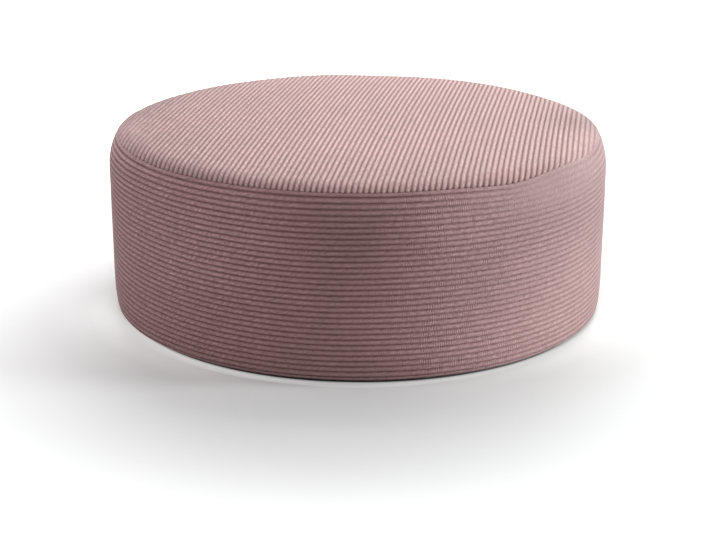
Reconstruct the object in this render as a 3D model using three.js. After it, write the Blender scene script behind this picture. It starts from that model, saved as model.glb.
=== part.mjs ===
// A low round pouf, upholstered in wide corduroy: a top panel whose ridges run straight across,
// a side band whose ridges run round it, and a thin dark base cloth.
// Millimetres, +Z up. It stands on the plane z = 0 with its axis on Z and its front towards -Y.

import * as THREE from 'three';

// outer form
const FULL_RADIUS = 500; // the side where it is fullest
const SEAM_RADIUS = 482.9; // where the top panel is sewn to the side band
const SEAM_HEIGHT = 359.3;
const SHOULDER_WIDTH = 41.3; // the top panel's roll from the seam inwards
const SHOULDER_RISE = 10.75;
const SHOULDER_ROUND = 1.7; // powers that shape the shoulder's curve
const SHOULDER_STEEP = 0.8;
const CROWN_RISE = 8; // from the shoulder up to the middle of the panel
const ROLL_HEIGHT = 295; // above this the side rolls in to the seam
const ROLL_POWER = 2.25;
const TAPER = 6; // how far the foot of the side draws in
const TAPER_HEIGHT = 95;
const TAPER_POWER = 2.2;
const TURN_WIDTH = 16; // the bottom edge, turned under on to the base
const TURN_RISE = 13;
const TURN_POWER = 2;
const BASE_RADIUS = 476.5;
const BASE_THICKNESS = 4.2;
const BASE_EDGE = 1.5; // softened lower edge of the base cloth
const GAP = 0.3; // between neighbouring pieces

// corduroy
const RIDGE_RISE = 2.4; // ridge above groove
const BAND_PITCH = 10.47; // from ridge to ridge round the side
const FIRST_GROOVE = 352.7; // height of the band's highest groove
const BAND_GROOVES = 33;
const GROOVE_INWARD_POWER = 4; // how late a groove turns from sinking down to sinking inwards
const PANEL_PITCH = 10.3; // from ridge to ridge across the top
const PANEL_LEAN = 81.15; // heading of the top's ridges, in degrees from +X towards +Y
const PANEL_BOW = 6.3; // how far a ridge's ends bend to the right of its middle
const PANEL_CLOSING = 4.6; // how much the ridges close up on the right and open on the left

// steps of the mesh
const TURNS = 60; // round the side
const SHOULDER_STEPS = 4; // along a ridge, on each shoulder
const CROWN_STEPS = 6; // along a ridge, between the shoulders
const SHORTEST_CROWN = 0.3; // share of a short ridge that counts as crown
const SHORTEST_INSET = 1; // the outermost line's distance from the seam
const BOW_PASSES = 6; // passes that settle where a bowed line meets the seam

// The band's lowest rows, on the turned-under edge.
const TURN_ROWS = [
  { height: 13.4, ridge: true },
  { height: 9.4, ridge: false },
  { height: 6.6, ridge: true },
];

// Places where the side stands out a little. The front is at -90 degrees.
const SIDE_SPOTS = [
  { degrees: -50, height: 15, wide: 28, tall: 60, out: 6.5 },
  { degrees: -146, height: 20, wide: 24, tall: 60, out: 1 },
  { degrees: -25, height: 230, wide: 30, tall: 70, out: 0.8 },
  { degrees: 120, height: 150, wide: 35, tall: 80, out: 1 },
];

// Places where the filling lifts (or drops) the top panel a little.
const TOP_SPOTS = [
  { degrees: 103, radius: 420, wide: 90, up: 1.8 },
  { degrees: 84, radius: 430, wide: 60, up: -1.6 },
  { degrees: 53, radius: 420, wide: 110, up: 1.8 },
  { degrees: 12, radius: 400, wide: 100, up: -1.4 },
  { degrees: 215, radius: 250, wide: 140, up: -1.2 },
];

const radians = THREE.MathUtils.degToRad;

function bell(distance, width) {
  return Math.exp(-((distance / width) ** 2));
}

// Signed angle from b to a, in degrees, between -180 and 180.
function turnBetween(a, b) {
  return THREE.MathUtils.euclideanModulo(a - b + 180, 360) - 180;
}

function sideFullness(degrees, height) {
  let out = 0;
  for (const spot of SIDE_SPOTS) {
    const round = bell(turnBetween(degrees, spot.degrees), spot.wide);
    out += spot.out * round * bell(height - spot.height, spot.tall);
  }
  return out;
}

function topLift(x, y) {
  let up = 0;
  for (const spot of TOP_SPOTS) {
    const spotX = spot.radius * Math.cos(radians(spot.degrees));
    const spotY = spot.radius * Math.sin(radians(spot.degrees));
    up += spot.up * bell(Math.hypot(x - spotX, y - spotY), spot.wide);
  }
  return up;
}

// Radius of the side over its ridges, before the turned-under edge is taken off.
function sideRadius(height) {
  const roll = Math.max(0, (height - ROLL_HEIGHT) / (SEAM_HEIGHT - ROLL_HEIGHT));
  const foot = Math.max(0, 1 - height / TAPER_HEIGHT);
  return FULL_RADIUS - (FULL_RADIUS - SEAM_RADIUS) * roll ** ROLL_POWER - TAPER * foot ** TAPER_POWER;
}

// The band's rows from the seam down to the base: height, and radius on the ridge or in the groove.
function bandRows() {
  const topEdge = SEAM_HEIGHT - GAP / 2;
  const bottomEdge = BASE_THICKNESS + GAP;
  const rows = [{ height: topEdge, ridge: true }];
  rows.push({ height: (topEdge + FIRST_GROOVE) / 2, ridge: true });
  for (let groove = 0; groove < BAND_GROOVES; groove += 1) {
    const height = FIRST_GROOVE - groove * BAND_PITCH;
    rows.push({ height, ridge: false });
    if (groove < BAND_GROOVES - 1) rows.push({ height: height - BAND_PITCH / 2, ridge: true });
  }
  rows.push(...TURN_ROWS, { height: bottomEdge, ridge: true });
  return rows.map(({ height, ridge }) => {
    const turned = Math.max(0, 1 - (height - bottomEdge) / TURN_RISE) ** TURN_POWER;
    return { height, radius: sideRadius(height) - TURN_WIDTH * turned - (ridge ? 0 : RIDGE_RISE) };
  });
}

function geometryFrom(points, triangles) {
  const geometry = new THREE.BufferGeometry();
  geometry.setAttribute('position', new THREE.Float32BufferAttribute(points.flat(), 3));
  geometry.setIndex(triangles.flat());
  geometry.computeVertexNormals();
  return geometry;
}

// Rings of points from the top down, as uneven as the side is, closed by a flat face at each end.
function ringStack(rows) {
  const points = [];
  const triangles = [];
  for (const { height, radius } of rows) {
    for (let step = 0; step < TURNS; step += 1) {
      const degrees = (360 * step) / TURNS;
      const reach = radius + sideFullness(degrees, height);
      points.push([reach * Math.cos(radians(degrees)), reach * Math.sin(radians(degrees)), height]);
    }
  }
  const topMiddle = points.push([0, 0, rows[0].height]) - 1;
  const bottomMiddle = points.push([0, 0, rows[rows.length - 1].height]) - 1;
  const lastRing = (rows.length - 1) * TURNS;
  for (let step = 0; step < TURNS; step += 1) {
    const next = (step + 1) % TURNS;
    triangles.push([topMiddle, step, next]);
    triangles.push([bottomMiddle, lastRing + next, lastRing + step]);
    for (let ring = 0; ring < lastRing; ring += TURNS) {
      triangles.push([ring + step, ring + TURNS + step, ring + TURNS + next]);
      triangles.push([ring + step, ring + TURNS + next, ring + next]);
    }
  }
  return geometryFrom(points, triangles);
}

// How far out on the shoulder a radius lies: 0 on the crown, 1 at the seam.
function shoulderShare(radius) {
  return THREE.MathUtils.clamp(1 - (SEAM_RADIUS - radius) / SHOULDER_WIDTH, 0, 1);
}

// Height of the top panel's smooth form over the seam.
function panelRise(radius) {
  const shoulder = SHOULDER_RISE * (1 - shoulderShare(radius) ** SHOULDER_ROUND) ** SHOULDER_STEEP;
  const crown = CROWN_RISE * Math.max(0, 1 - (radius / (SEAM_RADIUS - SHOULDER_WIDTH)) ** 2);
  return shoulder + crown;
}

// A point of the panel, from its place across the ridges and along them, sunk below the smooth form.
// Towards the seam a groove is sunk inwards more than down.
function panelPoint(across, along, sunk) {
  const heading = radians(PANEL_LEAN);
  const x = across * Math.sin(heading) + along * Math.cos(heading);
  const y = -across * Math.cos(heading) + along * Math.sin(heading);
  const radius = Math.min(SEAM_RADIUS, Math.hypot(x, y));
  const rise = panelRise(radius);
  const shrink = (radius - sunk * shoulderShare(radius) ** GROOVE_INWARD_POWER) / (Math.hypot(x, y) || 1);
  const down = sunk * Math.min(1, rise / (2 * RIDGE_RISE));
  const lift = topLift(x, y) * Math.min(1, rise / SHOULDER_RISE);
  return [x * shrink, y * shrink, SEAM_HEIGHT + GAP / 2 + rise - down + lift];
}

// Half the length of a ridge that bows from its place at the middle to its ends on the seam.
function halfLength(middle) {
  let square = 0;
  for (let pass = 0; pass < BOW_PASSES; pass += 1) {
    const across = middle + (PANEL_BOW * square) / SEAM_RADIUS ** 2;
    square = Math.max(0, SEAM_RADIUS ** 2 - across ** 2);
  }
  return Math.sqrt(square);
}

// Stations along a line from one end to the other, closer together on the shoulders.
function stationsAlong(middle) {
  const half = halfLength(middle);
  const crownRadius = SEAM_RADIUS - SHOULDER_WIDTH;
  const crown = Math.max(Math.sqrt(Math.max(0, crownRadius ** 2 - middle ** 2)), SHORTEST_CROWN * half);
  const stations = [];
  for (let step = 1; step < CROWN_STEPS; step += 1) {
    stations.push(crown * ((2 * step) / CROWN_STEPS - 1));
  }
  for (let step = 0; step <= SHOULDER_STEPS; step += 1) {
    const reach = crown + (half - crown) * Math.sin(((Math.PI / 2) * step) / SHOULDER_STEPS);
    stations.push(reach);
    stations.unshift(-reach);
  }
  return stations;
}

// Lines of points along each ridge and each groove, from the left edge to the right one.
function panelLines() {
  const lines = [];
  const widest = Math.ceil(SEAM_RADIUS / (PANEL_PITCH / 2)) + 2;
  for (let half = -widest; half <= widest; half += 1) {
    const even = (half * PANEL_PITCH) / 2;
    const middle = even - PANEL_CLOSING * (even / SEAM_RADIUS) ** 2;
    if (Math.abs(middle) > SEAM_RADIUS - SHORTEST_INSET) continue;
    const sunk = half % 2 === 0 ? 0 : RIDGE_RISE;
    lines.push(stationsAlong(middle).map((along) => {
      return panelPoint(middle + PANEL_BOW * (along / SEAM_RADIUS) ** 2, along, sunk);
    }));
  }
  return lines;
}

// The filled top: strips between neighbouring lines, a pointed end at either side, and a flat underside.
function topPanelGeometry() {
  const lines = panelLines();
  const perLine = lines[0].length;
  const points = lines.flat();
  const triangles = [];
  const leftTip = points.push(panelPoint(-SEAM_RADIUS, 0, 0)) - 1;
  const rightTip = points.push(panelPoint(SEAM_RADIUS, 0, 0)) - 1;
  const lastStart = (lines.length - 1) * perLine;
  const lastOfLine = perLine - 1;
  for (let start = 0; start < lastStart; start += perLine) {
    const next = start + perLine;
    for (let step = 0; step < lastOfLine; step += 1) {
      triangles.push([start + step, next + step, next + step + 1]);
      triangles.push([start + step, next + step + 1, start + step + 1]);
    }
    triangles.push([start, start + lastOfLine, next + lastOfLine]);
    triangles.push([start, next + lastOfLine, next]);
  }
  for (let step = 0; step < lastOfLine; step += 1) {
    triangles.push([leftTip, step, step + 1]);
    triangles.push([lastStart + step, rightTip, lastStart + step + 1]);
  }
  triangles.push([leftTip, lastOfLine, 0]);
  triangles.push([lastStart, lastStart + lastOfLine, rightTip]);
  return geometryFrom(points, triangles);
}

// The dark cloth under the pouf, flat on the floor, cut to the foot of the side.
function baseClothGeometry() {
  return ringStack([
    { height: BASE_THICKNESS, radius: BASE_RADIUS },
    { height: BASE_EDGE, radius: BASE_RADIUS },
    { height: 0, radius: BASE_RADIUS - BASE_EDGE },
  ]);
}

function piece(name, geometry, color) {
  const cloth = new THREE.MeshStandardMaterial({ color, roughness: 0.95, metalness: 0 });
  const mesh = new THREE.Mesh(geometry, cloth);
  mesh.name = name;
  return mesh;
}

const DUSTY_PINK = 0xb48f8c;
const NEAR_BLACK = 0x2b2626;

const pouf = new THREE.Group();
pouf.name = 'pouf';
pouf.add(
  piece('top_panel', topPanelGeometry(), DUSTY_PINK),
  piece('side_band', ringStack(bandRows()), DUSTY_PINK),
  piece('base_cloth', baseClothGeometry(), NEAR_BLACK),
);

export default pouf;
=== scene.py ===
"""A low round pouf in wide dusty pink corduroy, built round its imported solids.

The top panel, the side band and the base cloth are made here again with their fine form: rounded
pile ridges, the uneven seam that the ridges end at, and the turned-under foot. Metres, +Z up.
"""

import math
from collections import namedtuple

import bmesh
import bpy
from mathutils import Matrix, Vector, noise


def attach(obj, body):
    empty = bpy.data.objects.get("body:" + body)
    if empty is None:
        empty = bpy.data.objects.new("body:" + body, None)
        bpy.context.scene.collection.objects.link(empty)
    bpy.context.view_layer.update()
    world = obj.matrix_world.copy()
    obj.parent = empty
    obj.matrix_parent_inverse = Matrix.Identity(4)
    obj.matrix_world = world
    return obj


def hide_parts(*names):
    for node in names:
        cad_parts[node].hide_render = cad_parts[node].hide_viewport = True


# Outer form, as in the solids.
FULL_RADIUS = 0.500  # the side where it is fullest
SEAM_RADIUS = 0.4829  # where the top panel is sewn to the side band
SEAM_HEIGHT = 0.3593
SHOULDER_WIDTH = 0.0413  # the top panel's roll from the seam inwards
SHOULDER_RISE = 0.01075
SHOULDER_ROUND = 1.7  # powers that shape the shoulder's curve
SHOULDER_STEEP = 0.8
CROWN_RISE = 0.008  # from the shoulder up to the middle of the panel
ROLL_HEIGHT = 0.295  # above this the side rolls in to the seam
ROLL_POWER = 2.25
TAPER = 0.006  # how far the foot of the side draws in
TAPER_HEIGHT = 0.095
TAPER_POWER = 2.2
TURN_WIDTH = 0.016  # the bottom edge, turned under on to the base
TURN_RISE = 0.013
TURN_POWER = 2.0
BASE_RADIUS = 0.4765
BASE_THICKNESS = 0.0042
BASE_EDGE = 0.0015  # softened lower edge of the base cloth
GAP = 0.0003  # between neighbouring pieces
BAND_TOP = SEAM_HEIGHT - GAP / 2
BAND_FOOT = BASE_THICKNESS + GAP

# Ridges and grooves of the corduroy.
RIDGE_RISE = 0.0024  # ridge above groove
BAND_PITCH = 0.01047  # from ridge to ridge round the side
FIRST_GROOVE = 0.3527  # height of the band's highest groove
BAND_GROOVES = 33
LAST_GROOVE = FIRST_GROOVE - (BAND_GROOVES - 1) * BAND_PITCH
LAST_RIDGE_FOOT = 0.0094  # height where the band's lowest ridge ends
PANEL_PITCH = 0.0103  # from ridge to ridge across the top
PANEL_LEAN = math.radians(81.15)  # heading of the top's ridges, from +X towards +Y
PANEL_BOW = 0.0063  # how far a ridge's ends bend to the right of its middle
PANEL_CLOSING = 0.0046  # how much the ridges close up on the right and open on the left
GROOVE_INWARD_POWER = 4  # how late a groove turns from sinking down to sinking inwards
RIDGE_MIDDLE = 0.5
RIDGE_POWER = 2.1  # how full a ridge's rounded section is
END_POWER = 1.5  # the same at the seam, where the ridges part
END_REACH = 0.018  # how far from the seam the ridges start to part
END_SINK = 0.0012  # how much deeper the grooves are there
GAP_REACH = 0.034  # how far from the seam painted shade starts in the grooves
GAP_POWER = 1.6  # how late on the way to the seam they do
GAP_NARROWNESS = 2  # and how narrow that painted shade is in a groove
TUCK_REACH = 0.0020  # the edges roll in to the seam over this distance
TUCK_DEPTH = 0.0009
TUCK_SHADE = 0.22  # painted shade on the rolled-in edges at the seam
FIRST_GROOVE_SHADE = 0.30  # painted shade in the groove next to the seam
BENT_GROOVE_SHADE = 0.52  # painted shade in the narrow grooves where the top's pile is bent over
FOOT_SHADE = 0.30  # painted shade on the foot where it turns under
BRUSHED_FLATNESS = 0.75  # how much of a ridge's rise is lost where its pile is brushed smooth
BRUSHED_FADING = 0.80  # and how much of its grooves' colour
RIM_FLATNESS = 0.50  # how much of a ridge's rise is lost where the top's ridges fade
TOP_NAP = 0.6  # how much the pile stands up at the middle of the top
TOP_NAP_SLOPE = -0.9  # and how that changes for each metre to the right

# Across a ridge, from the groove on one side to just before the groove on the other.
RIDGE_STEPS = (0.0, 0.06, 0.14, 0.24, 0.36, 0.5, 0.64, 0.76, 0.86, 0.94)
TURNS = 240  # steps round the side and the base
SHOULDER_STEPS = 14  # along a ridge of the top, on each shoulder
CROWN_STEPS = 44  # along it, between the shoulders
SHORTEST_CROWN = 0.3  # share of a short ridge that counts as crown
SHORTEST_INSET = 0.001  # how close to the seam the outermost line may run
SPARE_RIDGES = 2  # tried past the seam on each side, since the ridges close up
BOW_PASSES = 6  # passes that settle where a bowed line meets the seam

# Places where the side stands out: degrees from +X, height, width in degrees, tallness, amount.
SIDE_SPOTS = (
    (-50, 0.015, 28, 0.060, 0.0065),
    (-146, 0.020, 24, 0.060, 0.0010),
    (-25, 0.230, 30, 0.070, 0.0008),
    (120, 0.150, 35, 0.080, 0.0010),
)

# Where the base cloth shows further out under the foot: degrees from +X, width in degrees, amount.
BASE_SWELLS = ((-36, 26, 0.0035),)

# The base cloth's section, from its upper edge round to its underside: height, radius.
BASE_SECTION = (
    (BASE_THICKNESS, BASE_RADIUS),
    (BASE_EDGE * 1.6, BASE_RADIUS + 0.0002),
    (BASE_EDGE, BASE_RADIUS),
    (BASE_EDGE * 0.35, BASE_RADIUS - BASE_EDGE * 0.3),
    (0.0, BASE_RADIUS - BASE_EDGE),
    (0.0, BASE_RADIUS * 0.75),
    (0.0, BASE_RADIUS * 0.4),
)

# Places where the filling lifts (or drops) the top: degrees from +X, radius, width, amount.
TOP_SPOTS = (
    (103, 0.420, 0.090, 0.0018),
    (84, 0.430, 0.060, -0.0016),
    (53, 0.420, 0.110, 0.0018),
    (12, 0.400, 0.100, -0.0014),
    (215, 0.250, 0.140, -0.0012),
)

# Where the seam sags below its even level: degrees from +X, width in degrees, amount.
SEAM_DROPS = (
    (-54, 11, 0.0080),
    (-25, 9, 0.0060),
    (-85, 40, 0.0024),
    (-140, 25, 0.0025),
    (65, 30, 0.0018),
    (150, 22, 0.0012),
)

# The same for the side's ridges, down to where they lie level.
ROW_DROPS = (
    (-30, 32, 0.0050),
    (-102, 13, 0.0011),
    (-145, 20, -0.0020),
    (80, 35, 0.0020),
)
SAG_POWER = 1.5  # how late on the shoulder the sag sets in
SEAM_PULL = 0.030  # how far down the side the seam draws the ridges with it
SAG_HEIGHT = 0.100  # the side's ridges sag in full above this
LEVEL_HEIGHT = 0.030  # and lie level below this

# Places where the side's pile is brushed smooth and drawn greyer as painted light: degrees from
# +X, height, width in degrees, tallness, share.
BRUSHED_SPOTS = (
    (-28, 0.200, 36, 0.300, 0.48),
    (-40, 0.340, 19, 0.042, 1.00),
    (-96, 0.180, 13, 0.500, 0.16),
)

# Places where the side's pile is drawn lighter or darker, partly its own uneven tone and partly
# painted light and shade: degrees from +X, height, width in degrees, tallness, amount.
SIDE_TONES_AND_LIGHT = (
    (-58, 0.050, 24, 0.090, 0.16),
    (-36, 0.300, 18, 0.100, -0.14),
    (-22, 0.220, 12, 0.160, -0.07),
    (-90, 0.300, 12, 0.090, -0.14),
    (-70, 0.300, 7, 0.080, 0.09),
    (-106, 0.280, 7, 0.090, 0.05),
    (-122, 0.270, 12, 0.090, 0.12),
    (-140, 0.060, 12, 0.080, -0.06),
    (40, 0.200, 24, 0.120, -0.08),
    (110, 0.140, 30, 0.120, 0.08),
    (160, 0.250, 22, 0.100, -0.08),
)

# The same on the top, with painted shade along the rim: x, y, width, amount.
TOP_TONES_AND_LIGHT = (
    (-0.40, -0.14, 0.140, -0.13),
    (0.00, -0.22, 0.160, 0.10),
    (0.24, -0.17, 0.110, 0.05),
    (0.42, -0.13, 0.100, 0.08),
    (-0.23, 0.22, 0.140, -0.07),
    (0.12, -0.42, 0.070, -0.05),
    (0.30, -0.37, 0.060, 0.10),
    (-0.455, 0.06, 0.080, -0.24),
    (-0.42, 0.20, 0.070, -0.22),
    (-0.33, 0.34, 0.060, -0.19),
    (-0.20, 0.43, 0.050, -0.14),
    (-0.08, 0.47, 0.045, -0.12),
    (0.475, 0.00, 0.095, -0.25),
)

# Where the ends of the top's ridges are brushed into the seam: degrees, width in degrees, share.
BLURRED_ENDS = ((-28, 14, 1.0),)

# Where the painted shade in the gaps between the ridge ends is short: degrees, width in degrees,
# added power.
SHORT_GAPS = ((-50, 22, 2.4),)

# Places where the side's pile stands in short slanted strands, and in small tufts: degrees from
# +X, height, width in degrees, tallness, share.
STRAND_SPOTS = (
    (-145, 0.180, 42, 0.400, 1.0),
    (-25, 0.180, 25, 0.400, 0.6),
    (60, 0.180, 50, 0.400, 0.8),
)
TUFT_SPOTS = (
    (-72, 0.190, 14, 0.400, 0.7),
    (-48, 0.190, 26, 0.400, 0.9),
    (150, 0.180, 45, 0.400, 0.8),
)

# Where the top's pile is bent over near the seam, drawn darker as painted shade: degrees, width in
# degrees, reach, share.
BENT_AND_SHADED_ENDS = (
    (-105, 45, 0.022, 0.33),
    (-133, 28, 0.045, 0.75),
    (150, 45, 0.060, 0.40),
    (60, 50, 0.022, 0.20),
    (0, 25, 0.040, 0.15),
)

# Where the top's ridges fade out towards the rim: degrees, width in degrees, reach, share.
FADED_RIMS = (
    (120, 60, 0.060, 0.5),
    (180, 22, 0.060, 0.5),
    (-5, 22, 0.035, 0.7),
)

WAVER_SPACING = 0.085  # how far apart the slow wavers of a ridge are
SIDE_WAVER = 0.00045
TOP_WAVER = 0.00035
LUMP_SPACING = 0.030  # the same for the filling's small lumps
LUMP_RISE = 0.00022
SIDE_LUMP_SHIFT = (7, 3, 1)  # so that the lumps don't follow the wavers
TOP_LUMP_SHIFT = (5, 2, 9)


def bell(distance, width):
    return math.exp(-((distance / width) ** 2))


def turn_between(a, b):
    """Signed angle from b to a, in degrees, between -180 and 180."""
    return (a - b + 180) % 360 - 180


def as_share(value):
    """The value, kept between 0 and 1."""
    return max(0.0, min(1.0, value))


# The form of the pouf.


def heading(x, y):
    """Direction of a place on the plan, in degrees from +X."""
    return math.degrees(math.atan2(y, x))


def inside_seam(x, y):
    """How far inside the seam a place on the plan lies, 0 past it."""
    return SEAM_RADIUS - min(SEAM_RADIUS, math.hypot(x, y))


def spots_at(spots, degrees, height):
    """Sum of the soft round spots of a table at a place on the side."""
    return sum(
        amount * bell(turn_between(degrees, spot), wide) * bell(height - spot_height, tall)
        for spot, spot_height, wide, tall, amount in spots
    )


def swell_at(swells, degrees):
    """Sum of the swells of a table at a place round the pouf."""
    return sum(amount * bell(turn_between(degrees, spot), wide) for spot, wide, amount in swells)


def rim_share(rims, x, y):
    """Sum of the shares of a table at a place on the top, from how near it lies to the seam."""
    from_seam = inside_seam(x, y)
    degrees = heading(x, y)
    shares = [
        share * bell(turn_between(degrees, spot), wide) * bell(from_seam, reach)
        for spot, wide, reach, share in rims
    ]
    return min(1.0, sum(shares))


def row_drop(degrees, height):
    """How far the side's cloth lies below its even level: as far as the seam near it, and not at
    all low down."""
    sagging = as_share((height - LEVEL_HEIGHT) / (SAG_HEIGHT - LEVEL_HEIGHT))
    own = swell_at(ROW_DROPS, degrees) * sagging
    return own + (swell_at(SEAM_DROPS, degrees) - own) * bell(SEAM_HEIGHT - height, SEAM_PULL)


def side_radius(height):
    """Radius of the side over its ridges, before the turned-under foot is taken off."""
    roll = max(0.0, (height - ROLL_HEIGHT) / (SEAM_HEIGHT - ROLL_HEIGHT))
    foot = max(0.0, 1 - height / TAPER_HEIGHT)
    return FULL_RADIUS - (FULL_RADIUS - SEAM_RADIUS) * roll**ROLL_POWER - TAPER * foot**TAPER_POWER


def top_lift(x, y):
    """How far the filling lifts the top at a place."""
    up = 0.0
    for degrees, radius, wide, rise in TOP_SPOTS:
        turn = math.radians(degrees)
        away = math.hypot(x - radius * math.cos(turn), y - radius * math.sin(turn))
        up += rise * bell(away, wide)
    return up


def top_tone_and_light(x, y):
    """How light the top's pile is drawn at a place, about 1: its own uneven tone and painted light
    and shade.
    """
    return 1 + sum(
        amount * bell(math.hypot(x - spot_x, y - spot_y), wide)
        for spot_x, spot_y, wide, amount in TOP_TONES_AND_LIGHT
    )


def shoulder_share(radius):
    """How far out on the shoulder a radius lies: 0 on the crown, 1 at the seam."""
    return as_share(1 - (SEAM_RADIUS - radius) / SHOULDER_WIDTH)


def parting_share(from_seam):
    """How far the top's ridges have parted: 1 at the seam, 0 away from it."""
    return as_share(1 - from_seam / END_REACH)


def ridge_depth(t, power=RIDGE_POWER):
    """Depth below a ridge's top, as a share of its rise, at a step t across it from 0 to 1."""
    return abs(2 * t - 1) ** power


def panel_rise(radius):
    """Height of the top panel's smooth form over the seam."""
    shoulder = SHOULDER_RISE * (1 - shoulder_share(radius) ** SHOULDER_ROUND) ** SHOULDER_STEEP
    crown = CROWN_RISE * max(0.0, 1 - (radius / (SEAM_RADIUS - SHOULDER_WIDTH)) ** 2)
    return shoulder + crown


def half_length(middle):
    """Half the length of a ridge that bows from its middle to its ends on the seam."""
    square = 0.0
    for _ in range(BOW_PASSES):
        across = middle + PANEL_BOW * square / SEAM_RADIUS**2
        square = max(0.0, SEAM_RADIUS**2 - across**2)
    return math.sqrt(square)


def stations_along(middle):
    """Stations along a line from one end to the other, closer together on the shoulders."""
    half = half_length(middle)
    crown_radius = SEAM_RADIUS - SHOULDER_WIDTH
    crown = max(math.sqrt(max(0.0, crown_radius**2 - middle**2)), SHORTEST_CROWN * half)
    reaches = [
        crown + (half - crown) * math.sin(math.pi / 2 * step / SHOULDER_STEPS)
        for step in range(SHOULDER_STEPS + 1)
    ]
    inner = [crown * (2 * step / CROWN_STEPS - 1) for step in range(1, CROWN_STEPS)]
    return [-reach for reach in reversed(reaches)] + inner + reaches


# Meshes of the three pieces.


SHARES = ("painted_shade", "brushed_and_painted_light", "faded", "strands", "tufts", "tone_and_painted_light")


class Shares:
    """The point values of a piece, from 0 to 1: how much painted shade it gets in creases, at the
    seam and under the foot, how far its pile is laid over, which brings painted light and shade
    into its colour, how far its groove is lost in the pile, how much the pile stands in strands
    and tufts, and, about 1, how light it is drawn, partly its own uneven tone and partly painted
    light and shade."""

    def __init__(self):
        self.rows = []

    def add(self, painted_shade=0.0, brushed_and_painted_light=0.0, faded=0.0, strands=0.0, tufts=0.0, tone_and_painted_light=1.0):
        shares = [as_share(share) for share in (painted_shade, brushed_and_painted_light, faded, strands, tufts)]
        self.rows.append([*shares, tone_and_painted_light])

    def write(self, mesh):
        for label, values in zip(SHARES, zip(*self.rows)):
            mesh.attributes.new(label, "FLOAT", "POINT").data.foreach_set("value", values)


def cloth_piece(name, points, faces, places, shares=None):
    """A mesh object with smooth faces and the UV map "cloth": on corduroy the distance along a
    ridge in metres and the number of ridges across, on the base cloth x and y."""
    mesh = bpy.data.meshes.new(name)
    mesh.from_pydata(points, [], faces)
    cloth = mesh.uv_layers.new(name="cloth")
    for loop_index, place in enumerate(places):
        cloth.data[loop_index].uv = place
    if shares:
        shares.write(mesh)
    mesh.polygons.foreach_set("use_smooth", [True] * len(mesh.polygons))
    mesh.validate()
    piece = bpy.data.objects.new(name, mesh)
    bpy.context.scene.collection.objects.link(piece)
    return piece


# A row of the band: its height, its depth below the ridge's top as a share of the ridge, the
# number of ridges from the top, how far it is tucked in, and how much painted shade it gets.
BandRow = namedtuple("BandRow", "height depth number tuck dark")


def side_rows():
    """The band's rows from the seam down to the base."""
    rows = []
    half = (BAND_TOP - FIRST_GROOVE) / BAND_PITCH
    first = [t for t in RIDGE_STEPS if t >= 1 - half]
    for t in [1 - half, *first]:
        height = FIRST_GROOVE + (1 - t) * BAND_PITCH
        depth = ridge_depth(t) if t > RIDGE_MIDDLE else 0.0
        edge = bell(BAND_TOP - height, TUCK_REACH)
        rows.append(BandRow(height, depth, t, TUCK_DEPTH * edge, TUCK_SHADE * edge))
    for ridge in range(1, BAND_GROOVES):
        for t in RIDGE_STEPS:
            height = FIRST_GROOVE - (ridge - 1 + t) * BAND_PITCH
            shade = FIRST_GROOVE_SHADE * bell(FIRST_GROOVE - height, TUCK_REACH)
            rows.append(BandRow(height, ridge_depth(t), ridge + t, 0.0, shade))
    # The lowest ridge and the strip under it curl on to the base, so they are shorter.
    for start, end, ridge in (
        (LAST_GROOVE, LAST_RIDGE_FOOT, BAND_GROOVES),
        (LAST_RIDGE_FOOT, BAND_FOOT, BAND_GROOVES + 1),
    ):
        for t in RIDGE_STEPS:
            height = start + (end - start) * t
            low = as_share((LAST_GROOVE - height) / (LAST_GROOVE - BAND_FOOT))
            rows.append(BandRow(height, ridge_depth(t), ridge + t, 0.0, FOOT_SHADE * low))
    rows.append(BandRow(BAND_FOOT, 0.0, BAND_GROOVES + 2, 0.0, 1.0))
    return rows


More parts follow.
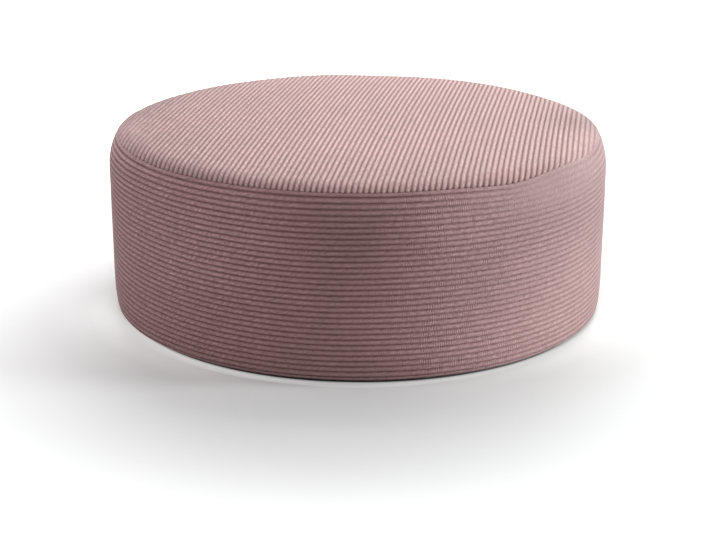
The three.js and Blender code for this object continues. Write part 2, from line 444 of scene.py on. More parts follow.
def side_band():
    """The strip of corduroy round the side, from the seam to its edge under the foot."""
    rows = side_rows()
    points, shares = [], Shares()
    for height, depth, _, tuck, dark in rows:
        turned = max(0.0, 1 - (height - BAND_FOOT) / TURN_RISE) ** TURN_POWER
        radius = side_radius(height) - TURN_WIDTH * turned - tuck
        free = as_share(min(BAND_TOP - height, height - BAND_FOOT) / BAND_PITCH)
        for step in range(TURNS):
            turn = 2 * math.pi * step / TURNS
            degrees = math.degrees(turn)
            brushed_and_painted_light = as_share(spots_at(BRUSHED_SPOTS, degrees, height))
            ring = Vector((math.cos(turn), math.sin(turn), 0.0))
            place = ring * FULL_RADIUS + Vector((0, 0, height))
            waver = SIDE_WAVER * noise.noise(place / WAVER_SPACING) * free
            lump_place = place / LUMP_SPACING + Vector(SIDE_LUMP_SHIFT)
            lump = LUMP_RISE * noise.noise(lump_place) * free
            sink = RIDGE_RISE * depth * (1 - BRUSHED_FLATNESS * brushed_and_painted_light)
            reach = radius + spots_at(SIDE_SPOTS, degrees, height) - sink + lump
            level = height + waver - row_drop(degrees, height)
            points.append((ring.x * reach, ring.y * reach, level))
            strands = spots_at(STRAND_SPOTS, degrees, height)
            tufts = spots_at(TUFT_SPOTS, degrees, height)
            crease_shade = dark * (1 - brushed_and_painted_light) if height > LEVEL_HEIGHT else dark
            tone_and_painted_light = 1 + spots_at(SIDE_TONES_AND_LIGHT, degrees, height)
            shares.add(crease_shade, brushed_and_painted_light, BRUSHED_FADING * brushed_and_painted_light, strands, tufts, tone_and_painted_light)
    last = (len(rows) - 1) * TURNS
    top_middle, bottom_middle = len(points), len(points) + 1
    # The hidden top face dips at its middle, clear of the panel's where the seam sags.
    lowest_seam = min(z for _, _, z in points[:TURNS])
    points += [(0, 0, lowest_seam), (0, 0, rows[-1].height)]
    # The hidden middles take full painted shade.
    shares.add(painted_shade=1.0)
    shares.add(painted_shade=1.0)
    run = 2 * math.pi * FULL_RADIUS / TURNS
    faces, places = [], []
    for ring, (upper, lower) in enumerate(zip(rows, rows[1:])):
        high, low = upper.number, lower.number
        here, there = ring * TURNS, (ring + 1) * TURNS
        for step in range(TURNS):
            after = (step + 1) % TURNS
            faces.append((here + step, there + step, there + after, here + after))
            left, right = step * run, (step + 1) * run
            places += [(left, high), (left, low), (right, low), (right, high)]
    for step in range(TURNS):
        after = (step + 1) % TURNS
        faces.append((top_middle, step, after))
        faces.append((bottom_middle, last + after, last + step))
        places += [(step * run, rows[0].number)] * 3 + [(step * run, rows[-1].number)] * 3
    return cloth_piece("side_band_corduroy", points, faces, places, shares)


def panel_place(across, along):
    """Place on the plan of a point across the panel's ridges and along them."""
    x = across * math.sin(PANEL_LEAN) + along * math.cos(PANEL_LEAN)
    y = -across * math.cos(PANEL_LEAN) + along * math.sin(PANEL_LEAN)
    return x, y


def panel_point(x, y, depth):
    """A point of the top panel, from its place and its depth in a groove as a share of the ridge.
    Towards the seam a groove is sunk inwards more than down."""
    reach = math.hypot(x, y)
    radius = min(SEAM_RADIUS, reach)
    from_seam = SEAM_RADIUS - radius
    sunk = RIDGE_RISE * depth + END_SINK * parting_share(from_seam) * depth
    rise = panel_rise(radius)
    inward = sunk * shoulder_share(radius) ** GROOVE_INWARD_POWER
    inward += TUCK_DEPTH * bell(from_seam, TUCK_REACH)
    shrink = (radius - inward) / (reach or 1)
    down = sunk * min(1.0, rise / (2 * RIDGE_RISE))
    down += swell_at(SEAM_DROPS, heading(x, y)) * shoulder_share(radius) ** SAG_POWER
    lift = top_lift(x, y) * min(1.0, rise / SHOULDER_RISE)
    return x * shrink, y * shrink, SEAM_HEIGHT + GAP / 2 + rise - down + lift


def painted_seam_shade(x, y, groove, bent_and_shaded):
    """Painted shade on the top near the seam, from how far to the middle of a groove a place lies
    and how bent over its pile is, which adds more painted shade."""
    from_seam = inside_seam(x, y)
    degrees = heading(x, y)
    power = GAP_POWER + swell_at(SHORT_GAPS, degrees)
    gap = as_share(1 - from_seam / GAP_REACH) ** power + BENT_GROOVE_SHADE * bent_and_shaded
    edge = TUCK_SHADE * bell(from_seam, TUCK_REACH)
    clear = max(0.0, 1 - swell_at(BLURRED_ENDS, degrees))
    return (edge + gap * groove**GAP_NARROWNESS) * clear


def top_panel():
    """The round of corduroy on top, with its outermost ridges closed to a point on each side."""
    widest = math.ceil(SEAM_RADIUS / PANEL_PITCH) + SPARE_RIDGES
    points, shares, lines = [], Shares(), []
    for ridge in range(-widest, widest + 1):
        for t in RIDGE_STEPS:
            number = ridge + t - RIDGE_MIDDLE
            even = number * PANEL_PITCH
            middle = even - PANEL_CLOSING * (even / SEAM_RADIUS) ** 2
            if abs(middle) > SEAM_RADIUS - SHORTEST_INSET:
                continue
            line = []
            for along in stations_along(middle):
                across = middle + PANEL_BOW * (along / SEAM_RADIUS) ** 2
                place = Vector((even, along, 0.0))
                slack = as_share((SEAM_RADIUS - math.hypot(across, along)) / SHOULDER_WIDTH)
                across += TOP_WAVER * noise.noise(place / WAVER_SPACING) * slack
                parting = parting_share(inside_seam(across, along))
                power = RIDGE_POWER + (END_POWER - RIDGE_POWER) * parting
                x, y = panel_place(across, along)
                bent_and_shaded, faded = rim_share(BENT_AND_SHADED_ENDS, x, y), rim_share(FADED_RIMS, x, y)
                point = panel_point(x, y, ridge_depth(t, power) * (1 - RIM_FLATNESS * faded))
                lump_place = place / LUMP_SPACING + Vector(TOP_LUMP_SHIFT)
                lump = LUMP_RISE * noise.noise(lump_place) * slack
                line.append((len(points), along, number + RIDGE_MIDDLE))
                points.append((point[0], point[1], point[2] + lump))
                crease_shade = painted_seam_shade(x, y, ridge_depth(t, 1), bent_and_shaded) * (1 - faded)
                standing = TOP_NAP + TOP_NAP_SLOPE * x
                shares.add(crease_shade, bent_and_shaded, faded, standing, standing, top_tone_and_light(x, y))
            lines.append(line)
    tips = []
    for side in (-1, 1):
        tips.append((len(points), 0.0, side * SEAM_RADIUS / PANEL_PITCH + RIDGE_MIDDLE))
        points.append(panel_point(*panel_place(side * SEAM_RADIUS, 0.0), 0.0))
        shares.add(painted_shade=TUCK_SHADE)
    faces, places = [], []

    def face(*corners):
        faces.append([index for index, _, _ in corners])
        places.extend((along, number) for _, along, number in corners)

    for line, after in zip(lines, lines[1:]):
        for a, b, c, d in zip(line, after, after[1:], line[1:]):
            face(a, b, c, d)
        face(line[0], line[-1], after[-1], after[0])
    first, final = lines[0], lines[-1]
    for a, b in zip(first, first[1:]):
        face(tips[0], a, b)
    for a, b in zip(final, final[1:]):
        face(a, tips[1], b)
    face(tips[0], first[-1], first[0])
    face(final[0], final[-1], tips[1])
    return cloth_piece("top_panel_corduroy", points, faces, places, shares)


def base_cloth():
    """The dark cloth under the pouf, drawn over the edge of the base with a soft lower edge."""
    points, faces = [], []
    for height, radius in BASE_SECTION:
        for step in range(TURNS):
            turn = 2 * math.pi * step / TURNS
            degrees = math.degrees(turn)
            out = spots_at(SIDE_SPOTS, degrees, height) + swell_at(BASE_SWELLS, degrees)
            reach = radius * (1 + out / BASE_RADIUS)
            points.append((reach * math.cos(turn), reach * math.sin(turn), height))
    top_middle, bottom_middle = len(points), len(points) + 1
    points += [(0, 0, BASE_THICKNESS), (0, 0, 0.0)]
    last = (len(BASE_SECTION) - 1) * TURNS
    for step in range(TURNS):
        after = (step + 1) % TURNS
        faces.append((top_middle, step, after))
        faces.append((bottom_middle, last + after, last + step))
        for here in range(0, last, TURNS):
            there = here + TURNS
            faces.append((here + step, there + step, there + after, here + after))
    places = [points[corner][:2] for face in faces for corner in face]
    return cloth_piece("base_cloth_sheet", points, faces, places)


# Shader node groups.

# A Mix node has sockets for numbers and vectors too, of the same names. These are its colours.
MIX_FIRST_COLOUR = 6
MIX_SECOND_COLOUR = 7
MIX_RESULT_COLOUR = 2

# Kinds of sockets of a group.
NUMBER = "NodeSocketFloat"
PLACE = "NodeSocketVector"
COLOUR = "NodeSocketColor"


class Wiring:
    """Short calls for adding nodes to a tree and linking them."""

    def __init__(self, tree):
        self.tree = tree

    def feed(self, socket, value):
        """Link a socket to the value where that is a socket too, or else set it to the value."""
        if isinstance(value, bpy.types.NodeSocket):
            self.tree.links.new(value, socket)
        else:
            socket.default_value = value

    def node(self, kind, **settings):
        made = self.tree.nodes.new(kind)
        for key, value in settings.items():
            setattr(made, key, value)
        return made

    def math(self, operation, *values):
        made = self.node("ShaderNodeMath", operation=operation)
        for socket, value in zip(made.inputs, values):
            self.feed(socket, value)
        return made.outputs[0]

    def total(self, start, *shares):
        """The start plus each value times its amount."""
        for value, amount in shares:
            start = self.math("MULTIPLY_ADD", value, amount, start)
        return start

    def product(self, first, *others):
        for other in others:
            first = self.math("MULTIPLY", first, other)
        return first

    def noise(self, place, scale, detail=2.0, roughness=0.5):
        """Soft noise that swings about 0."""
        made = self.node("ShaderNodeTexNoise")
        self.feed(made.inputs["Vector"], place)
        self.feed(made.inputs["Scale"], scale)
        made.inputs["Detail"].default_value = detail
        made.inputs["Roughness"].default_value = roughness
        return self.math("SUBTRACT", made.outputs["Fac"], 0.5)

    def ramp(self, value, low, high, out_low=0.0, out_high=1.0):
        """A soft step from out_low to out_high while the value goes from low to high."""
        made = self.node("ShaderNodeMapRange", interpolation_type="SMOOTHSTEP")
        self.feed(made.inputs["Value"], value)
        self.feed(made.inputs["From Min"], low)
        self.feed(made.inputs["From Max"], high)
        self.feed(made.inputs["To Min"], out_low)
        self.feed(made.inputs["To Max"], out_high)
        return made.outputs["Result"]

    def wave(self, turns):
        return self.math("SINE", self.math("MULTIPLY", turns, 2 * math.pi))

    def blend(self, share, first, second):
        """The first colour where the share is 0, the second where it is 1."""
        made = self.node("ShaderNodeMix", data_type="RGBA")
        self.feed(made.inputs["Factor"], share)
        self.feed(made.inputs[MIX_FIRST_COLOUR], first)
        self.feed(made.inputs[MIX_SECOND_COLOUR], second)
        return made.outputs[MIX_RESULT_COLOUR]

    def shaded(self, colour, shade):
        made = self.node("ShaderNodeVectorMath", operation="SCALE")
        self.feed(made.inputs[0], colour)
        self.feed(made.inputs["Scale"], shade)
        return made.outputs[0]

    def group(self, tree, **values):
        made = self.node("ShaderNodeGroup", node_tree=tree)
        for key, value in values.items():
            self.feed(made.inputs[key.replace("_", " ")], value)
        return made.outputs


def new_group(name, inputs, outputs):
    """An empty shader group. Inputs and outputs give the kind of each named socket."""
    group = bpy.data.node_groups.new(name, "ShaderNodeTree")
    for label, kind in inputs.items():
        group.interface.new_socket(label, in_out="INPUT", socket_type=kind)
    for label, kind in outputs.items():
        group.interface.new_socket(label, in_out="OUTPUT", socket_type=kind)
    into = group.nodes.new("NodeGroupInput")
    return group, Wiring(group), into.outputs, group.nodes.new("NodeGroupOutput").inputs


TUFT_WANDER = 2.0  # how many tufts a full swing of the noise shifts them by
STRAND_WANDER = 3.0  # the same for strands
STRAND_START = 7.0  # ridges start up to this many strands apart
TUFT_SIDES = 0.35  # how much of a tuft shows in the grooves, where the crest shows all
LYING_NAP = 0.5  # how lively pile is that doesn't stand
STANDING_NAP = 0.65  # and how much livelier where it does
BRUSHED_CALM = 0.55  # how much of that is lost where it is brushed over
STREAK_SHARE = 0.9  # how strong streaks are beside specks
MIDDLE_HEIGHT = 0.5  # level of the pile in the bump, and how far its parts swing about it
TUFT_HEIGHT = 0.25
STRAND_HEIGHT = 0.2
MOTTLE_HEIGHT = 0.6
FIBRE_HEIGHT = 0.6


def corduroy_nap():
    """The pile along each ridge: small tufts, slanted strands, mottling and streaks of brushed
    fibre. Shade is about 1, Height about 0.5."""
    group, wire, given, out = new_group(
        "corduroy_nap",
        {
            "Run": NUMBER,
            "Ridge": NUMBER,
            "Streak Place": PLACE,
            "Mottle Place": PLACE,
            "Even Place": PLACE,
            "Tufts": NUMBER,
            "Strands": NUMBER,
            "Brushed": NUMBER,
            "Tuft Pitch": NUMBER,
            "Strand Pitch": NUMBER,
            "Strand Slant": NUMBER,
            "Tuft Depth": NUMBER,
            "Strand Depth": NUMBER,
            "Mottle Depth": NUMBER,
            "Fibre Depth": NUMBER,
        },
        {"Shade": NUMBER, "Height": NUMBER},
    )
    even = given["Even Place"]
    within = wire.math("FRACT", given["Ridge"])
    off_middle = wire.math("MULTIPLY_ADD", within, 2.0, -1.0)
    crest = wire.math("SUBTRACT", 1.0, wire.math("MULTIPLY", off_middle, off_middle))
    white = wire.node("ShaderNodeTexWhiteNoise", noise_dimensions="1D")
    wire.feed(white.inputs["W"], wire.math("FLOOR", given["Ridge"]))
    start = white.outputs["Value"]
    wander = wire.noise(even, scale=45.0, detail=1.0)
    patchy = wire.ramp(wire.noise(even, scale=55.0, detail=1.0), low=-0.12, high=0.18)

    tuft_turns = wire.math("DIVIDE", given["Run"], given["Tuft Pitch"])
    tuft_wave = wire.wave(wire.total(tuft_turns, (start, 1.0), (wander, TUFT_WANDER)))
    tuft_shape = wire.total(TUFT_SIDES, (crest, 1 - TUFT_SIDES))
    tuft = wire.product(tuft_wave, tuft_shape, patchy, given["Tufts"])

    strand_turns = wire.total(
        wire.math("DIVIDE", given["Run"], given["Strand Pitch"]),
        (within, given["Strand Slant"]),
        (start, STRAND_START),
        (wander, STRAND_WANDER),
    )
    strand_wave = wire.ramp(wire.wave(strand_turns), low=0.3, high=1.0, out_low=-0.2)
    come_and_go = wire.noise(even, scale=32.0, detail=1.0)
    uneven = wire.ramp(come_and_go, low=-0.2, high=0.15, out_low=0.2)
    strand = wire.product(strand_wave, crest, uneven, given["Strands"])

    upright = wire.math("MAXIMUM", given["Tufts"], given["Strands"])
    standing = wire.total(LYING_NAP, (upright, STANDING_NAP))
    lively = wire.product(standing, wire.total(1.0, (given["Brushed"], -BRUSHED_CALM)))
    mottle = wire.noise(given["Mottle Place"], scale=1.0, roughness=0.6)
    mottle = wire.product(mottle, lively)
    streak = wire.noise(given["Streak Place"], scale=1.0, roughness=0.6)
    speck = wire.noise(even, scale=420.0, roughness=0.7)
    fibre = wire.product(wire.total(speck, (streak, STREAK_SHARE)), lively)
    shade = wire.total(
        1.0,
        (tuft, given["Tuft Depth"]),
        (strand, given["Strand Depth"]),
        (mottle, given["Mottle Depth"]),
        (fibre, given["Fibre Depth"]),
    )
    height = wire.total(
        MIDDLE_HEIGHT,
        (tuft, TUFT_HEIGHT),
        (strand, STRAND_HEIGHT),
        (mottle, MOTTLE_HEIGHT),
        (fibre, FIBRE_HEIGHT),
    )
    wire.feed(out["Shade"], shade)
    wire.feed(out["Height"], height)
    return group


def soft_patches():
    """Slow unevenness of a cloth, where it has been handled. Shade is about 1."""
    group, wire, given, out = new_group(
        "soft_patches", {"Place": PLACE, "Size": NUMBER, "Depth": NUMBER}, {"Shade": NUMBER}
    )
    scale = wire.math("DIVIDE", 1.0, given["Size"])
    swing = wire.noise(given["Place"], scale, detail=3.0, roughness=0.55)
    # The noise swings by a half, so twice the depth is the whole of it.
    wire.feed(out["Shade"], wire.total(1.0, (swing, wire.math("MULTIPLY", given["Depth"], 2.0))))
    return group


def ridge_colour():
    """Pile colour on the ridges; in the grooves a ground colour, partly the weave and partly
    painted shade.
    Laid-over pile has its own colour with painted light and shade in it; creases take painted
    shade."""
    group, wire, given, out = new_group(
        "ridge_colour",
        {
            "Ridge": NUMBER,
            "Pile Colour": COLOUR,
            "Brushed Colour": COLOUR,
            "Ground Colour": COLOUR,
            "Crease Colour": COLOUR,
            "Groove Start": NUMBER,
            "Groove Share": NUMBER,
            "Brushed": NUMBER,
            "Pressed": NUMBER,
            "Shade": NUMBER,
        },
        {"Colour": COLOUR, "Groove": NUMBER},
    )
    within = wire.math("FRACT", given["Ridge"])
    off_middle = wire.math("ABSOLUTE", wire.math("MULTIPLY_ADD", within, 2.0, -1.0))
    groove = wire.product(wire.ramp(off_middle, given["Groove Start"], 1.0), given["Groove Share"])
    dark = wire.math("MAXIMUM", groove, given["Pressed"])
    pile = wire.blend(given["Brushed"], given["Pile Colour"], given["Brushed Colour"])
    cloth = wire.blend(dark, pile, given["Ground Colour"])
    creased = wire.blend(given["Pressed"], cloth, given["Crease Colour"])
    wire.feed(out["Colour"], wire.shaded(creased, given["Shade"]))
    wire.feed(out["Groove"], dark)
    return group


# Materials.


def new_material(name):
    material = bpy.data.materials.new(name)
    material.use_nodes = True
    tree = material.node_tree
    tree.nodes.clear()
    wire = Wiring(tree)
    shader = wire.node("ShaderNodeBsdfPrincipled")
    output = wire.node("ShaderNodeOutputMaterial")
    wire.feed(output.inputs["Surface"], shader.outputs[0])
    return material, wire, shader


def cloth_place(wire):
    """The two ways of the UV map "cloth", and the object's own coordinates."""
    cloth = wire.node("ShaderNodeUVMap", uv_map="cloth")
    parts = wire.node("ShaderNodeSeparateXYZ")
    wire.feed(parts.inputs[0], cloth.outputs[0])
    own = wire.node("ShaderNodeTexCoord").outputs["Object"]
    return parts.outputs["X"], parts.outputs["Y"], own


def stretched(wire, place, turn, scale):
    """The place turned about the upright by an angle and scaled, so that noise runs in streaks."""
    turned = wire.node("ShaderNodeVectorRotate", rotation_type="Z_AXIS")
    wire.feed(turned.inputs["Vector"], place)
    turned.inputs["Angle"].default_value = turn
    made = wire.node("ShaderNodeVectorMath", operation="MULTIPLY")
    wire.feed(made.inputs[0], turned.outputs[0])
    made.inputs[1].default_value = scale
    return made.outputs[0]


def add_bump(wire, shader, height, strength, distance):
    bump = wire.node("ShaderNodeBump")
    bump.inputs["Strength"].default_value = strength
    bump.inputs["Distance"].default_value = distance
    wire.feed(bump.inputs["Height"], height)
    wire.feed(shader.inputs["Normal"], bump.outputs[0])


PILE_ROUGHNESS = 0.88
GROOVE_ROUGHNESS = 0.08  # added in the grooves
PILE_SPECULAR = 0.15


def corduroy(name, groups, look):
    """A corduroy with its own pile colour, a ground colour that is partly painted shade, nap and
    sheen.
    """
    nap_group, patch_group, ridge_group = groups
    material, wire, shader = new_material(name)
    run, ridge, own = cloth_place(wire)
    share = {}
    for label in SHARES:
        share[label] = wire.node("ShaderNodeAttribute", attribute_name=label).outputs["Fac"]
    nap = wire.group(
        nap_group,
        Run=run,
        Ridge=ridge,
        Streak_Place=stretched(wire, own, look["streak_turn"], look["streak_scale"]),
        Mottle_Place=stretched(wire, own, look["streak_turn"], look["mottle_scale"]),
        Even_Place=own,
        Tufts=share["tufts"],
        Strands=share["strands"],
        Brushed=share["brushed_and_painted_light"],
        Tuft_Pitch=look["tuft_pitch"],
        Strand_Pitch=look["strand_pitch"],
        Strand_Slant=look["strand_slant"],
        Tuft_Depth=look["tuft_depth"],
        Strand_Depth=look["strand_depth"],
        Mottle_Depth=look["mottle_depth"],
        Fibre_Depth=look["fibre_depth"],
    )
    patch = wire.group(patch_group, Place=own, Size=look["patch_size"], Depth=look["patch_depth"])
    cloth = wire.group(
        ridge_group,
        Ridge=ridge,
        Pile_Colour=look["pile"],
        Brushed_Colour=look["brushed_and_painted_light"],
        Ground_Colour=look["ground_and_shade"],
        Crease_Colour=look["crease_shade"],
        Groove_Start=look["groove_start"],
        Groove_Share=wire.math("SUBTRACT", 1.0, share["faded"]),
        Brushed=share["brushed_and_painted_light"],
        Pressed=share["painted_shade"],
        Shade=wire.product(nap["Shade"], patch["Shade"], share["tone_and_painted_light"]),
    )
    roughness = wire.total(PILE_ROUGHNESS, (cloth["Groove"], GROOVE_ROUGHNESS))
    wire.feed(shader.inputs["Base Color"], cloth["Colour"])
    wire.feed(shader.inputs["Roughness"], roughness)
    add_bump(wire, shader, nap["Height"], strength=1.0, distance=look["bump_distance"])
    shader.inputs["Specular IOR Level"].default_value = PILE_SPECULAR
    shader.inputs["Sheen Weight"].default_value = look["sheen"]
    shader.inputs["Sheen Roughness"].default_value = look["sheen_roughness"]
    shader.inputs["Sheen Tint"].default_value = look["sheen_tint"]
    return material


NONWOVEN_DARK = (0.150, 0.128, 0.125)
DIMPLE_PITCH = 0.0022
DIMPLE_SHARE = 0.25  # how strong the dimples are beside the fibres


def base_nonwoven(patch_group):
    """Dark grey nonwoven cloth: pressed fibres in a fine dimpled grid."""
    material, wire, shader = new_material("base_nonwoven")
    across, along, own = cloth_place(wire)
    waves = [wire.wave(wire.math("DIVIDE", way, DIMPLE_PITCH)) for way in (across, along)]
    dimple = wire.product(*waves)
    fibre = wire.noise(own, scale=900.0, detail=3.0, roughness=0.7)
    patch = wire.group(patch_group, Place=own, Size=0.05, Depth=0.25)
    light = wire.ramp(fibre, low=-0.2, high=0.25, out_low=0.75, out_high=1.5)
    colour = wire.shaded(NONWOVEN_DARK, wire.product(light, patch["Shade"]))
    roughness = wire.ramp(fibre, low=-0.2, high=0.2, out_low=0.75, out_high=0.95)
    wire.feed(shader.inputs["Base Color"], colour)
    wire.feed(shader.inputs["Roughness"], roughness)
    height = wire.total(fibre, (dimple, DIMPLE_SHARE))
    add_bump(wire, shader, height, strength=0.5, distance=0.0003)
    return material


# Looks of the top. A scale is in changes per metre along x, y and z, once the place is turned so
# that the ridges run along y.
TOP_LOOK = {
    "pile": (0.480, 0.310, 0.299, 1),
    # darker pile where it is bent over near the seam: painted shade
    "brushed_and_painted_light": (0.298, 0.185, 0.186, 1),
    # ground weave colour in the grooves, darkened as painted shade
    "ground_and_shade": (0.216, 0.123, 0.118, 1),
    # colour of the painted shade in creases, at the seam and under the foot
    "crease_shade": (0.100, 0.040, 0.038, 1),
    "groove_start": 0.2,
    "streak_turn": math.pi / 2 - PANEL_LEAN,
    "streak_scale": (420.0, 90.0, 90.0),
    "mottle_scale": (190.0, 75.0, 75.0),
    "tuft_pitch": 0.0042,
    "tuft_depth": 0.22,
    "strand_pitch": 0.014,
    "strand_slant": 1.2,
    "strand_depth": 0.42,
    "mottle_depth": 1.10,
    "fibre_depth": 0.55,
    "patch_size": 0.16,
    "patch_depth": 0.07,
    "bump_distance": 0.0012,
    "sheen": 0.35,
    "sheen_roughness": 0.45,
    "sheen_tint": (1.0, 0.93, 0.92, 1),
}

# Whole numbers of tufts and strands round the band, so that they meet where its turn closes.
BAND_TUFTS = 750
BAND_STRANDS = 226

# The side's looks, where they aren't the top's. Its places aren't turned.
SIDE_LOOK = TOP_LOOK | {
    "pile": (0.460, 0.269, 0.277, 1),
    # greyer pile where it is brushed: painted light
    "brushed_and_painted_light": (0.430, 0.284, 0.282, 1),
    # ground weave colour in the grooves, darkened as painted shade
    "ground_and_shade": (0.252, 0.128, 0.130, 1),
    "crease_shade": (0.110, 0.043, 0.044, 1),
    "streak_turn": 0.0,
    "streak_scale": (90.0, 90.0, 420.0),
    "mottle_scale": (130.0, 130.0, 250.0),
    "tuft_pitch": 2 * math.pi * FULL_RADIUS / BAND_TUFTS,
    "tuft_depth": 0.32,
    "strand_pitch": 2 * math.pi * FULL_RADIUS / BAND_STRANDS,
    "strand_depth": 0.52,
    "mottle_depth": 1.05,
    "fibre_depth": 0.50,
    "patch_depth": 0.12,
    "bump_distance": 0.0016,
}


# Studio.

SENSOR_WIDTH = 36.0  # in millimetres, as is the lens
LENS_LENGTH = 81.66
NEAREST = 0.1
FARTHEST = 100.0
CAMERA_PLACE = (0.0, -3.2001, 1.1448)
CAMERA_TILT = math.radians(71.153)
CAMERA_ROLL = math.radians(-0.028)
FLOOR_RADIUS = 30.0
FLOOR_SIDES = 96
FLOOR_GAP = 0.0002
FLOOR_TONE = (0.78, 0.78, 0.78, 1)
FLOOR_ROUGHNESS = 0.9
FLOOR_SPECULAR = 0.1
WHITE = (1, 1, 1, 1)

# How the floor is lit up where the camera sees it, by distance from the middle of the pouf.
GLOW_START = 0.68  # it fades to white from here
GLOW_END = 1.72
GLOW = 1.0
FOOT_LINE_START = 0.470  # under the foot it isn't lit up, out to between these
FOOT_LINE_END = 0.484
FOOT_LEAN = 0.033  # and further out for each metre to the right, where the foot stands out
FOOT_GLOW_START = 0.484  # right past that the foot's shadow is thinned the most
FOOT_GLOW_END = 0.506
FOOT_GLOW = 0.43
FOOT_GLOW_FALL = 0.30  # by that much less at the sides
SIDE_GLOW_START = 0.50  # further out it is thinned at the sides
SIDE_GLOW_END = 0.66
SIDE_GLOW = 0.29
EDGE_GLOW_END = 0.575  # and, not as far out, between the front and the sides too
EDGE_GLOW = 0.13
FRONT_START = 0.10  # the foot's shadow is thinned in front only, not at all behind this y
FRONT_END = -0.20  # and in full in front of this one

PLAIN_LIGHT = (1.0, 0.98, 0.99)
COOL_LIGHT = (0.93, 1.0, 0.99)
RIGHT_LIGHT = (0.905, 1.0, 0.978)

# Soft lights: name, place, aim, width, height, power in watts, colour.
SOFTBOXES = (
    ("back_softbox", (0.0, 2.6, 2.3), (0.0, 0.0, 0.2), 3.0, 1.6, 67.4, COOL_LIGHT),
    ("back_low_softbox", (0.0, 3.0, 1.5), (0.0, 0.0, 0.2), 3.0, 1.2, 20.7, COOL_LIGHT),
    ("back_near_softbox", (0.2, 1.4, 2.6), (0.0, 0.0, 0.2), 2.4, 1.6, 47.7, PLAIN_LIGHT),
    ("top_softbox", (0.0, 0.0, 3.0), (0.0, 0.0, 0.0), 2.4, 2.4, 33.6, PLAIN_LIGHT),
    ("top_front_softbox", (0.0, -1.2, 3.0), (0.0, -0.2, 0.0), 2.6, 1.6, 18.6, PLAIN_LIGHT),
    ("right_softbox", (2.6, -0.6, 1.0), (0.0, 0.0, 0.2), 0.6, 1.2, 34.9, RIGHT_LIGHT),
    ("right_low_softbox", (2.6, -0.6, 0.6), (0.0, 0.0, 0.2), 0.6, 0.6, 24.1, RIGHT_LIGHT),
    ("left_softbox", (-2.6, -0.6, 1.0), (0.0, 0.0, 0.2), 0.6, 1.2, 16.7, PLAIN_LIGHT),
)


def studio_camera():
    lens = bpy.data.cameras.new("studio_camera")
    lens.sensor_width = SENSOR_WIDTH
    lens.lens = LENS_LENGTH
    lens.clip_start, lens.clip_end = NEAREST, FARTHEST
    camera = bpy.data.objects.new("studio_camera", lens)
    camera.location = CAMERA_PLACE
    camera.rotation_euler = (CAMERA_TILT, CAMERA_ROLL, 0.0)
    bpy.context.scene.collection.objects.link(camera)
    bpy.context.scene.camera = camera


def softbox(name, place, aim, width, height, power, colour):
    light = bpy.data.lights.new(name, "AREA")
    light.shape = "RECTANGLE"
    light.size, light.size_y = width, height
    light.energy = power
    light.color = colour
    lamp = bpy.data.objects.new(name, light)
    lamp.location = place
    lamp.rotation_euler = (Vector(aim) - Vector(place)).to_track_quat("-Z", "Y").to_euler()
    bpy.context.scene.collection.objects.link(lamp)


def floor_glow(wire):
    """How much the floor is lit up at a place, where the camera sees it."""
    place = wire.node("ShaderNodeTexCoord").outputs["Object"]
    parts = wire.node("ShaderNodeSeparateXYZ")
    wire.feed(parts.inputs[0], place)
    x, y = parts.outputs["X"], parts.outputs["Y"]
    length = wire.node("ShaderNodeVectorMath", operation="LENGTH")
    wire.feed(length.inputs[0], place)
    reach = length.outputs["Value"]
    seen = wire.node("ShaderNodeLightPath").outputs["Is Camera Ray"]

    foot_line = wire.total(reach, (wire.math("MAXIMUM", x, 0.0), -FOOT_LEAN))
    past_foot = wire.ramp(foot_line, FOOT_LINE_START, FOOT_LINE_END)
    in_front = wire.ramp(y, FRONT_START, FRONT_END)
    leaning = wire.math("DIVIDE", x, reach)
    aside = wire.product(leaning, leaning)

    near = wire.ramp(reach, FOOT_GLOW_START, FOOT_GLOW_END, 1.0, 0.0)
    near = wire.product(near, wire.total(FOOT_GLOW, (aside, -FOOT_GLOW_FALL)))
    sides = wire.ramp(reach, SIDE_GLOW_START, SIDE_GLOW_END, SIDE_GLOW, 0.0)
    sides = wire.product(sides, aside)
    edge = wire.ramp(reach, SIDE_GLOW_START, EDGE_GLOW_END, EDGE_GLOW, 0.0)
    edge = wire.product(edge, wire.math("ABSOLUTE", leaning))
    foot_glow = wire.product(wire.total(near, (sides, 1.0), (edge, 1.0)), past_foot, in_front)
    far_glow = wire.ramp(reach, GLOW_START, GLOW_END, 0.0, GLOW)
    return wire.product(wire.math("ADD", far_glow, foot_glow), seen)


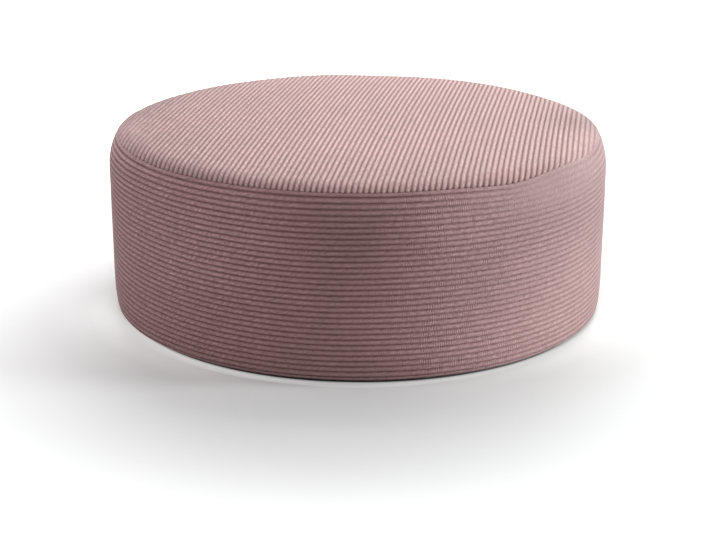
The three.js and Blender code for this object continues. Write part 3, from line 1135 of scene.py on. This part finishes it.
def studio_floor():
    """A pale floor that fades to white far off, with painted light that thins the pouf's shadow at
    its foot.
    """
    mesh = bpy.data.meshes.new("studio_floor")
    shape = bmesh.new()
    bmesh.ops.create_circle(shape, cap_ends=True, segments=FLOOR_SIDES, radius=FLOOR_RADIUS)
    shape.to_mesh(mesh)
    shape.free()
    floor = bpy.data.objects.new("studio_floor", mesh)
    floor.location = (0, 0, -FLOOR_GAP)
    bpy.context.scene.collection.objects.link(floor)
    material, wire, shader = new_material("studio_floor")
    shader.inputs["Base Color"].default_value = FLOOR_TONE
    shader.inputs["Roughness"].default_value = FLOOR_ROUGHNESS
    shader.inputs["Specular IOR Level"].default_value = FLOOR_SPECULAR
    shader.inputs["Emission Color"].default_value = WHITE
    wire.feed(shader.inputs["Emission Strength"], floor_glow(wire))
    mesh.materials.append(material)


def studio_lights():
    """The soft lights, and a dark room that the camera sees as white."""
    for box in SOFTBOXES:
        softbox(*box)
    world = bpy.data.worlds.new("studio")
    world.use_nodes = True
    world.node_tree.nodes.clear()
    wire = Wiring(world.node_tree)
    seen = wire.node("ShaderNodeLightPath").outputs["Is Camera Ray"]
    background = wire.node("ShaderNodeBackground")
    background.inputs["Color"].default_value = WHITE
    wire.feed(background.inputs["Strength"], seen)
    wire.feed(wire.node("ShaderNodeOutputWorld").inputs["Surface"], background.outputs[0])
    bpy.context.scene.world = world


def dress(piece, material, node):
    """Give a piece its material, and let it stand for a node of the solids."""
    piece.data.materials.append(material)
    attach(piece, "root")
    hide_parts(node)


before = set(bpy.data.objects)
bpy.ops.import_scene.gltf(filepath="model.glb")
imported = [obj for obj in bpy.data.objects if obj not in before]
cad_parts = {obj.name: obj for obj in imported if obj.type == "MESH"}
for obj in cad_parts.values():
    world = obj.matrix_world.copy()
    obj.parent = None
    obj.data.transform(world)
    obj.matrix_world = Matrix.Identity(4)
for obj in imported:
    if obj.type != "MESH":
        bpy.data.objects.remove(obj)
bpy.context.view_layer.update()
bpy.context.scene.view_settings.view_transform = "Standard"
studio_camera()
studio_floor()
studio_lights()

nap, patches, ridges = corduroy_nap(), soft_patches(), ridge_colour()
top, band, base = top_panel(), side_band(), base_cloth()
top_finish = corduroy("top_corduroy", (nap, patches, ridges), TOP_LOOK)
side_finish = corduroy("side_corduroy", (nap, patches, ridges), SIDE_LOOK)
dress(top, top_finish, "top_panel")
dress(band, side_finish, "side_band")
dress(base, base_nonwoven(patches), "base_cloth")
